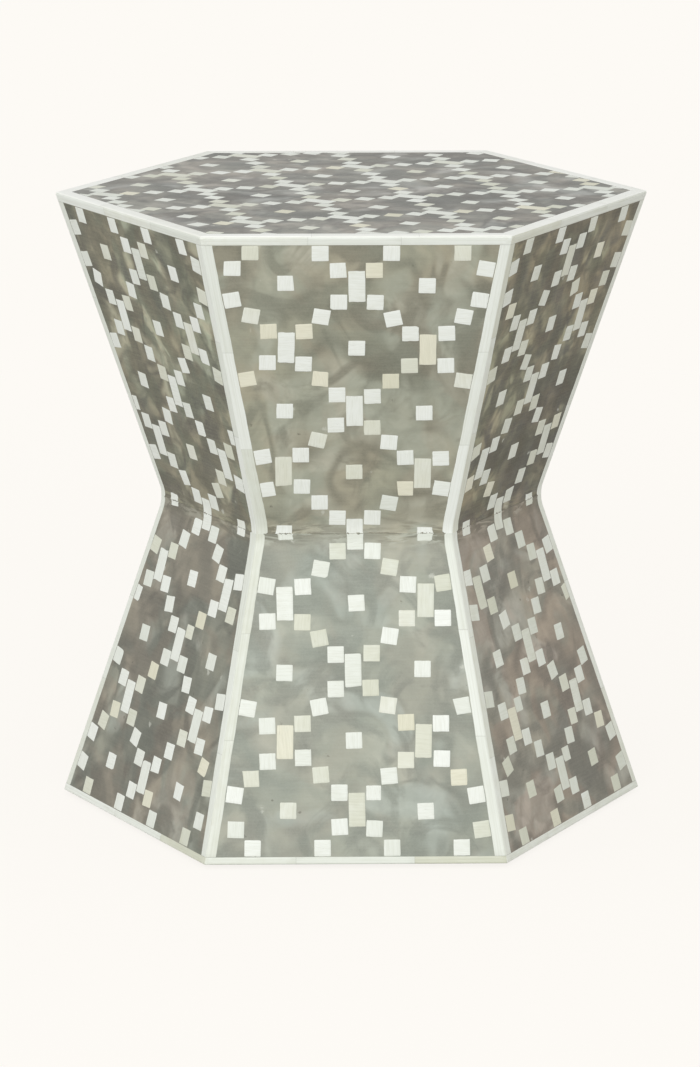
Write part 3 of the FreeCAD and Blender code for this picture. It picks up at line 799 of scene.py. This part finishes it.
# The noises that cloud it: number, scale, detail, roughness and bend
resin_noises = {
    "clouds": (0, 13, 3, 0.5, 1.0),
    "blotches": (1, 46, 3, 0.5, 0.5),
    "drifts": (2, 16, 2, 0.5, 0.4),
    "thin smoke": (3, 18, 2.2, 0.4, 1.0),
    "wide smoke": (4, 12, 2.2, 0.4, 1.0),
    "thin smoke's rims": (5, 14, 2, 0.5, 1.0),
    "wide smoke's rims": (6, 14, 2, 0.5, 1.0),
    "mottle": (7, 120, 4, 0.65, 0.6),
    "grain": (8, 800, 2, 0.5, 1.0),
    "dark clouds": (10, 22, 4, 0.5, 1.3),
    "tints": (11, 20, 3, 0.5, 1.0),
    "broad shade": (12, 9, 2, 0.5, 1.0),
}
smoke_levels = {"thin smoke": 0.54, "wide smoke": 0.57}  # the noise above which the smoke lies
seed_step = (1.7, 0.9, 2.3)  # how far apart the noises of two faces lie for each unit of seed
noise_step = (3.1, -5.3, 1.9)  # and those of one face, for each number

# Its shades, against the face's colour with its painted light and shade: brightness, and the shares of red
# and of blue
resin_shades = {
    "dark cloud": (0.74, 0.97, 0.98),
    "pale cloud": (1.16, 1.03, 0.96),
    "drift": (1.06, 1.03, 0.94),
    "smoke": (1.34, 0.96, 1.05),
    "rim of smoke": (0.52, 0.98, 0.98),
    "darkest": (0.54, 0.98, 0.98),
    "blotch": (0.76, 0.97, 1.0),
    "mottle": (0.8, 1.0, 1.0),
    "sanded": (1.3, 1.0, 1.0),
    "grain": (1.25, 1.0, 1.0),
    "scratch": (1.6, 1.0, 1.0),
    "dark smear": (0.52, 1.04, 0.92),
    "chalky smear": (1.55, 1.0, 1.0),
}
pale_fleck = srgb(205, 206, 194)
dark_pit = srgb(84, 80, 68)
# The colour that runs over carries the faces' painted light and shade: a painted soft change of shade across
# the fold
run_over = 16 * MM  # how far a colour runs over into the face beyond the fold


# own is the face's colour from resin_mixes: partly the resin's colour, partly painted light and shade for
# that face
def resin_finish(name, own, contrast, turning, beyond, seed):
    """Grey resin, clouded and smoky, ground flat and rubbed to a satin.

    On a side it is smeared in the fold at the waist, where its colour, painted light and shade
    included, runs over into that of the face beyond.
    """
    f = Finish("grey_resin_" + name)

    def layer(label):
        number, scale, detail, rough, bend = resin_noises[label]
        shift = [s * seed + n * number for s, n in zip(seed_step, noise_step)]
        return f.noise(f.place(shift), scale, detail, rough, bend)

    def lay(share, colour, label, power=contrast):
        return f.mix(share, colour, shade(label, power))

    def shade(label, power=contrast):
        bright, red, blue = resin_shades[label]
        return [min(part * bright ** power * tint, 1) for part, tint in zip(own, (red, 1, blue))] + [1]

    clouds, blotches = layer("clouds"), layer("blotches")
    mottle, grain = layer("mottle"), layer("grain")
    sanded = f.grained(45, 620, (seed, 0, 0), rough=0.6)

    # Clouds, drifts of a middle shade over them, and smoke with a dark rim where it begins
    colour = f.mix(f.shades(clouds, 0.4, 0.6), shade("dark cloud"), shade("pale cloud"))
    colour = lay(f.shades(layer("drifts"), 0.48, 0.6, 0.0, 0.6), colour, "drift")
    for label, level in smoke_levels.items():
        smoke = layer(label)
        colour = lay(f.shades(smoke, level, level + 0.12, 0.0, 0.75), colour, "smoke")
        rim = f.fades(f.math("ABSOLUTE", f.math("SUBTRACT", smoke, level)), 0.0, 0.075)
        held = f.shades(layer(label + "'s rims"), 0.44, 0.6, 0.0, 0.7)
        colour = lay(f.times(rim, held), colour, "rim of smoke")

    # Dark clouds and blotches, then the mottle, the marks of sanding and the grain: from where
    # to where the noise counts, and how much it covers
    for label, noise, low, high, cover in (
            ("darkest", layer("dark clouds"), 0.48, 0.64, 0.75),
            ("blotch", blotches, 0.42, 0.6, min(0.3 * contrast, 0.75)),
            ("mottle", mottle, 0.3, 0.7, 0.26),
            ("sanded", sanded, 0.35, 0.7, 0.1),
            ("grain", grain, 0.3, 0.7, 0.14)):
        colour = lay(f.shades(noise, low, high, 0.0, cover), colour, label)

    # The turn between brownish and greenish, and a broad shade over all
    colour = f.stain(turning, colour, f.mix(f.shades(layer("tints"), 0.42, 0.58), green_tint, brown_tint))
    depth = min(0.05 * contrast, 0.16)
    shaded, lit = [1 - depth] * 3 + [1], [1 + depth] * 3 + [1]
    colour = f.stain(1.0, colour, f.mix(f.shades(layer("broad shade"), 0.42, 0.58), shaded, lit))

    # The face beyond's colour holds painted light and shade, so this paints a soft change of shade across
    # the waist
    if beyond:
        ratio = [b / m for b, m in zip(beyond[:3], own[:3])] + [1]
        colour = f.stain(f.fades(from_waist(f), 0.0, run_over, 0.5), colour, ratio)
        colour = lay(waist_dark(f, seed), colour, "dark smear", 1)
        colour = lay(waist_pale(f, seed), colour, "chalky smear", 1)
    colour = lay(scratches(f, seed), colour, "scratch")
    colour = f.mix(flecks(f, seed, scale=90.0, rarity=0.95, size=0.3), colour, pale_fleck)
    colour = f.mix(flecks(f, seed + 3, scale=150.0, rarity=0.96, size=0.28), colour, dark_pit)

    roughness = f.shades(f.math("ADD", blotches, f.times(mottle, 0.4)), 0.4, 1.0, 0.38, 0.54)
    wavy = f.bump(clouds, 0.25 * MM, 0.5)
    fine = f.bump(f.math("ADD", grain, mottle), 0.03 * MM, 0.6, wavy)
    return f.finish(colour, roughness, fine, Specular_IOR_Level=0.42)


def cells_of(f, place, scale):
    """Scattered cells: the distance from a cell's middle, and a number drawn for each cell."""
    cells = f.node("TexVoronoi", {"Vector": place, "Scale": scale}, feature="F1")
    drawn = f.node("SeparateColor", {0: cells.outputs["Color"]}).outputs[0]
    return cells.outputs["Distance"], drawn


def scratches(f, seed):
    """Thin pale scratches, each in a long cell of its own, most of the cells without one."""
    share = 0.0
    for number, turn in enumerate((0.2, 1.9)):
        place = f.place((seed, number, -seed), (1, 1, 0.09), (0.15, turn * 0.1, turn))
        distance, drawn = cells_of(f, place, 130.0)
        line = f.fades(distance, 0.03, 0.12, 0.5)
        share = f.math("MAXIMUM", share, f.times(line, f.math("GREATER_THAN", drawn, 0.975)))
    return share


def flecks(f, seed, scale, rarity, size):
    """Small ragged spots, one in a few of the cells."""
    ragged = f.noise(f.place((seed, seed, 0)), scale * 3, 4, 0.7)
    distance, drawn = cells_of(f, f.place((seed, 2, seed)), scale)
    spot = f.fades(f.strayed(distance, ragged, 0.4, 0.9), size * 0.5, size, 0.55)
    return f.times(spot, f.math("GREATER_THAN", drawn, rarity))


def from_waist(f):
    """Distance from the waist line, on the map of a side's resin."""
    return f.math("ABSOLUTE", f.node("SeparateXYZ", {0: f.place(on_map=True)}).outputs["Y"])


def ragged_from_waist(f, seed):
    """That distance, ragged by a little."""
    return f.strayed(from_waist(f), f.grained(400, 400, (seed, 9, 0)), 0.5, 1.6 * MM)


def waist_dark(f, seed):
    """How dark the resin is smeared in the fold at the waist: smudges, streaks and a crack."""
    distance = ragged_from_waist(f, seed)
    smudges = f.grained(20, 90, (seed, 0, 0), 4, 0.6, 1.0)
    smear = f.times(f.fades(distance, 3 * MM, 15 * MM), f.shades(smudges, 0.46, 0.62, 0.0, 0.75))
    streaks = f.grained(16, 300, (seed, 7, 0), 4, 0.6, 0.8)
    line = f.times(f.fades(distance, 1 * MM, 8 * MM), f.shades(streaks, 0.5, 0.62, 0.0, 0.4))
    broken = f.grained(60, 60, (seed, 3, 0))
    crack = f.times(f.fades(distance, 0.3 * MM, 1.1 * MM, 0.9), f.shades(broken, 0.38, 0.6, 0.2, 1.0))
    return f.math("MAXIMUM", f.math("MAXIMUM", smear, line), crack)


def waist_pale(f, seed):
    """The chalky smears beside that crack."""
    distance = ragged_from_waist(f, seed + 5)
    streaks = f.grained(34, 130, (seed, 5, 0), 5, 0.65, 1.2)
    return f.times(f.fades(distance, 4 * MM, 12 * MM), f.shades(streaks, 0.5, 0.62, 0.0, 0.6))


# Bone, from white over greyish to creamy, what stains it, and a darkening that carries both random dulling
# and painted shade
bone_white = srgb(239, 242, 235)
# Painted light: a brighter copy of the bone white, so that the top's strips look more strongly lit
rim_white_painted_light = srgb(249, 250, 244)  # round the top
bone_grey = srgb(222, 223, 206)
bone_cream = srgb(231, 228, 207)
fibre_stain = srgb(222, 222, 210)
# Darkens bone by its tone: partly a random dulling, partly painted shade where a face's tone is set low
dull_and_painted_shade = srgb(230, 232, 225)
pore_brown = srgb(160, 152, 130)
grime_brown = srgb(96, 92, 78)
tile_fibre = (70, 900)  # scales of the fibres, along and across them
strip_fibre = (14, 800)


def bone_finish(name, fibre, streak, white=bone_white):
    """Bone, sawn and polished: faint fibres and pores, cool white to cream, grimy joints."""
    f = Finish(name)
    along, across = fibre
    fibres = f.grained(along, across, rough=0.6, bend=0.4)
    pores = f.grained(along * 3, across * 2.2, detail=2)
    cloud = f.grained(110, 110)
    warmth = f.strayed(f.value("warmth"), cloud, 0.5, 0.3)
    colour = f.mix(f.shades(warmth, 0.0, 0.5), white, bone_grey)
    colour = f.mix(f.shades(warmth, 0.55, 1.0), colour, bone_cream)
    colour = f.stain(f.times(f.shades(fibres, 0.35, 0.75), streak), colour, fibre_stain)
    # Painted light and shade: the tone, with each face's shift in it, sets how much of this darkening the
    # bone takes
    colour = f.stain(f.fades(f.value("tone"), -1.5, 1.5, 0.7), colour, dull_and_painted_shade)
    marked = f.math("GREATER_THAN", f.value("marking"), 0.8)
    colour = f.mix(f.times(f.shades(pores, 0.62, 0.74, 0.0, 0.3), marked), colour, pore_brown)
    colour = f.mix(f.times(f.value("grime"), f.shades(cloud, 0.2, 0.8, 0.55, 0.9)), colour, grime_brown)
    roughness = f.shades(f.math("ADD", fibres, f.times(cloud, 0.5)), 0.4, 1.1, 0.32, 0.46)
    return f.finish(colour, roughness, f.bump(fibres, 0.02 * MM, 0.5), Specular_IOR_Level=0.45)


def wood_finish(name, pale, dark, upright, ring_scale=55.0):
    """Plain sawn wood: rings stretched along the grain, fine pores."""
    f = Finish(name)
    place = f.place(scale=(1, 1, 0.12) if upright else (0.12, 1, 1))
    rings = f.noise(place, ring_scale, 4, 0.6, 1.2)
    pores = f.noise(place, ring_scale * 12, 2)
    colour = f.mix(f.shades(rings, 0.3, 0.7), pale, dark)
    colour = f.mix(f.times(f.shades(pores, 0.5, 0.75), 0.4), colour, dark)
    return f.finish(colour, 0.72, f.bump(pores, 0.06 * MM, 0.6), Specular_IOR_Level=0.25)


def steel_finish():
    """Zinc-plated screws: fine brushing and a dulled, blotchy plating."""
    f = Finish("zinc_plate")
    brushed = f.noise(f.place(scale=(1, 30, 1)), 900, 2)
    blotch = f.noise(f.place(), 500, 3)
    colour = f.mix(f.shades(blotch, 0.3, 0.7), srgb(176, 178, 182), srgb(146, 146, 144))
    return f.finish(colour, f.shades(brushed, 0.3, 0.7, 0.28, 0.5), f.bump(brushed, 0.01 * MM), Metallic=1.0)


def nylon_finish():
    """White moulded nylon, scuffed."""
    f = Finish("white_nylon")
    scuffs = f.noise(f.place(scale=(1, 5, 1), turn=(0, 0, 0.7)), 260, 4, 0.65)
    colour = f.mix(f.shades(scuffs, 0.45, 0.75), srgb(228, 226, 217), srgb(190, 186, 174))
    return f.finish(colour, f.shades(scuffs, 0.3, 0.8, 0.42, 0.62), f.bump(scuffs, 0.03 * MM))


# Seeds of the clouds: a side's two faces share one, and the clouds run through the fold
first_seed, seed_per_side, top_seed = 0.4, 1.37, 7.7


def clad():
    """The whole skin."""
    tile_bone = bone_finish("bone_tile", tile_fibre, 0.3)
    strip_bone = bone_finish("bone_strip", strip_fibre, 0.36)
    # The rim bone is a brighter copy of the strip bone: painted light on the strips round the top
    rim_bone_painted_light = bone_finish("bone_rim", strip_fibre, 0.12, rim_white_painted_light)
    for face in side_faces:
        tier, side = face.tier, face.side
        beyond = resin_mixes[("lower_" if tier == "upper" else "upper_") + side][0]
        seed = side_names.index(side) * seed_per_side + first_seed
        resin = resin_finish(face.name, *resin_mixes[face.name], beyond, seed)
        side_resin(face, f"{tier}_resin_{side}", resin)
        tiles_piece(face, f"{tier}_bone_tiles_{side}", tile_bone)
        strips_piece(face, f"{tier}_bone_strips_{side}", strip_bone)
    top_resin("top_resin", resin_finish("top", *resin_mixes["top"], None, top_seed))
    tiles_piece(top_face(), "top_bone_tiles", tile_bone)
    top_strips_piece("top_bone_strips", rim_bone_painted_light)


def finish_carcass():
    """Finishes on the solids that show underneath, and on those inside."""
    board = wood_finish("mango_board", srgb(196, 158, 112), srgb(150, 112, 74), True)
    plywood = wood_finish("plywood", srgb(214, 184, 142), srgb(178, 142, 100), False, 30.0)
    block = wood_finish("softwood_block", srgb(220, 190, 146), srgb(190, 150, 104), True, 80.0)
    finishes = {"_board_": board, "top_board": board, "waist_plate": board, "base_board": plywood,
                "corner_blocks": block, "screws": steel_finish(), "foot_glides": nylon_finish()}
    for name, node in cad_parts.items():
        for words, finish in finishes.items():
            if words in name:
                node.data.materials.clear()
                node.data.materials.append(finish)


# Floor, light and camera

background = srgb(253, 250, 245)
floor_reach = 30.0
floor_grey = [0.45, 0.45, 0.45, 1]
floor_light = 0.95  # how bright the open floor is lit
shadow_share = 0.1  # how strongly the stool's shadow shows on it
shadow_reach = (0.4, 1.6)  # it shows in full up to the first distance, and not past the second
floor_gap = 0.05 * MM  # keeps the floor from lying in one plane with the foot of the glides
# Soft boxes: where each hangs, its width in metres and its power in watts
soft_boxes = {
    "front_box": ((-0.5, -3.4, 1.5), 2.2, 57),
    "left_box": ((-3.0, -1.2, 1.3), 1.8, 10),
    "right_box": ((3.0, -1.2, 1.3), 1.8, 4),
}
lit_middle = (0, 0, 0.25)
room_strength = 0.745
sensor_width = 36.0


def seen_by(f, camera, others):
    """One shader for camera, glossy and transmitted rays, another for all the rest."""
    path = f.node("LightPath")
    seen = f.math("MAXIMUM", path.outputs["Is Camera Ray"], path.outputs["Is Glossy Ray"])
    seen = f.math("MAXIMUM", seen, path.outputs["Is Transmission Ray"])
    return f.node("MixShader", {0: seen, 1: others, 2: camera}).outputs[0]


def lay_floor():
    """A wide pale floor. What the camera sees is the backdrop's own paleness, less the shadow."""
    mesh = bpy.data.meshes.new("floor")
    corners = np.array([(-1, -1, 0), (1, -1, 0), (1, 1, 0), (-1, 1, 0)]) * floor_reach - UP * floor_gap
    mesh.from_pydata(corners.tolist(), [], [(0, 1, 2, 3)])
    floor = in_scene("floor", mesh)
    f = Finish("pale_floor")
    plain = f.node("BsdfDiffuse", {"Color": floor_grey}).outputs[0]
    away = f.node("VectorMath", {0: f.place()}, operation="LENGTH").outputs["Value"]
    lit_share = f.fades(away, *shadow_reach, shadow_share)
    shown = f.node("BsdfDiffuse", {"Color": f.mix(lit_share, [0, 0, 0, 1], background)}).outputs[0]
    strength = f.math("SUBTRACT", 1.0, f.times(lit_share, floor_light))
    glow = f.node("Emission", {"Color": background, "Strength": strength}).outputs[0]
    seen = f.node("AddShader", {0: shown, 1: glow}).outputs[0]
    f.tree.nodes.remove(f.shader)
    f.join(f.tree.nodes["Material Output"].inputs["Surface"], seen_by(f, seen, plain))
    mesh.materials.append(f.material)


def hang_light(name, place, size, power):
    """A soft square light at a place, turned to the stool's middle."""
    lamp = bpy.data.lights.new(name, "AREA")
    lamp.shape, lamp.size, lamp.energy = "SQUARE", size, power
    light = in_scene(name, lamp)
    light.location = place
    x, y, z = np.array(lit_middle) - np.array(place)
    light.rotation_euler = (math.pi / 2 + math.atan2(z, math.hypot(x, y)), 0, math.atan2(y, x) - math.pi / 2)


def light_room():
    """Soft light from all round, a large soft box in front and a weak one on either side."""
    for name, (place, size, power) in soft_boxes.items():
        hang_light(name, place, size, power)
    bpy.context.scene.world = bpy.data.worlds.new("room")
    f = Finish("room", bpy.context.scene.world)
    f.join(f.shader.inputs["Color"], [1.0, 1.0, 1.0, 1])
    f.join(f.shader.inputs["Strength"], room_strength)
    backdrop = f.node("Background", {"Color": background}).outputs[0]
    by_camera = f.node("LightPath").outputs["Is Camera Ray"]
    seen = f.node("MixShader", {0: by_camera, 1: f.shader.outputs[0], 2: backdrop}).outputs[0]
    f.join(f.tree.nodes["World Output"].inputs["Surface"], seen)


def set_camera():
    """The photograph's camera, in the stool's own frame."""
    lens = bpy.data.cameras.new("photo_camera")
    lens.lens, lens.sensor_width, lens.sensor_fit = camera_lens, sensor_width, "AUTO"
    camera = in_scene("photo_camera", lens)
    cos, sin = math.cos(-stool_turn), math.sin(-stool_turn)
    x, y = camera_aside, -camera_distance
    camera.location = (x * cos - y * sin, x * sin + y * cos, camera_height)
    camera.rotation_euler = (math.pi / 2 - camera_pitch, 0, -stool_turn)
    bpy.context.scene.camera = camera


clad()
finish_carcass()
lay_floor()
light_room()
set_camera()
bpy.context.scene.view_settings.view_transform = "Standard"
